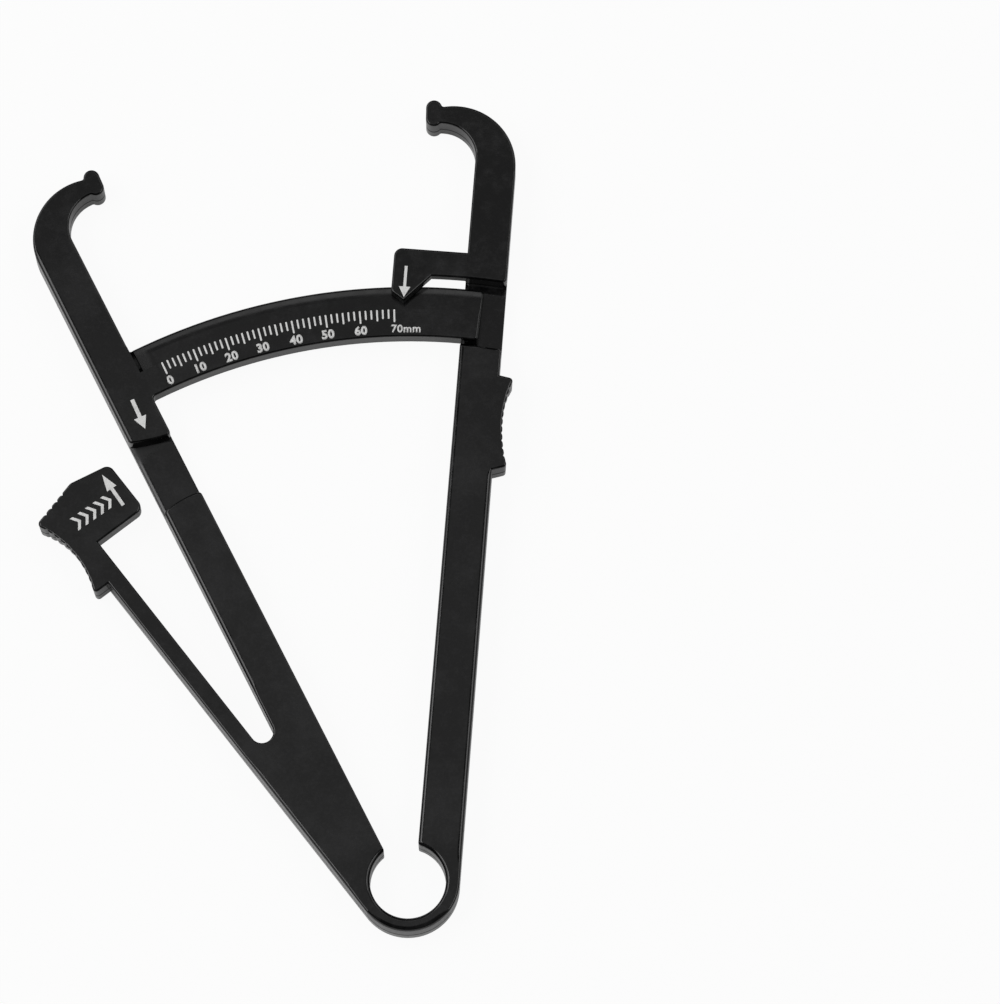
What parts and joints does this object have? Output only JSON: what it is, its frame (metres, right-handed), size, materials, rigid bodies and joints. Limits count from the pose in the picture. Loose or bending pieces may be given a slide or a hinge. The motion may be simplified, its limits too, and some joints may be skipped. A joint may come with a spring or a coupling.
{
  "type": "skinfold caliper",
  "caption": "Skinfold caliper with two hooked jaws sprung apart by a C-shaped ring, a curved millimetre scale with a pointer, a ribbed finger grip and a ribbed thumb lever.",
  "frame": {"origin": "centre of the ring that joins the two legs, half way through the thickness", "axes": "+Z out of the front face that carries the scale; +Y from the ring towards the jaws, 4.4 degrees off the right arm; +X to the right arm's side, away from the thumb lever"},
  "size_m": [0.1054, 0.1854, 0.008],
  "materials": {
    "black_plastic": "satin"
  },
  "bodies": {
    "left_arm": {"left_leg": "black_plastic", "left_jaw": "black_plastic", "scale_arc": "black_plastic", "spring_ring": "black_plastic", "lever_blade": "black_plastic"},
    "right_arm": {"right_leg": "black_plastic", "right_jaw": "black_plastic", "pointer_arm": "black_plastic"},
    "thumb_lever": {"lever_head": "black_plastic"}
  },
  "joints": [
    {"name": "squeeze", "type": "hinge", "parent": "left_arm", "child": "right_arm", "pos_m": [0, 0, 0], "axis": [0, 0, 1], "range_deg": [0, 24.5], "stiffness_Nm_per_rad": 0.4, "deforming": ["spring_ring"]},
    {"name": "thumb_press", "type": "hinge", "parent": "left_arm", "child": "thumb_lever", "pos_m": [-0.0366, 0.03209, 0], "axis": [0, 0, -1], "range_deg": [0, 10.9], "stiffness_Nm_per_rad": 0.2, "deforming": ["lever_blade"]}
  ]
}
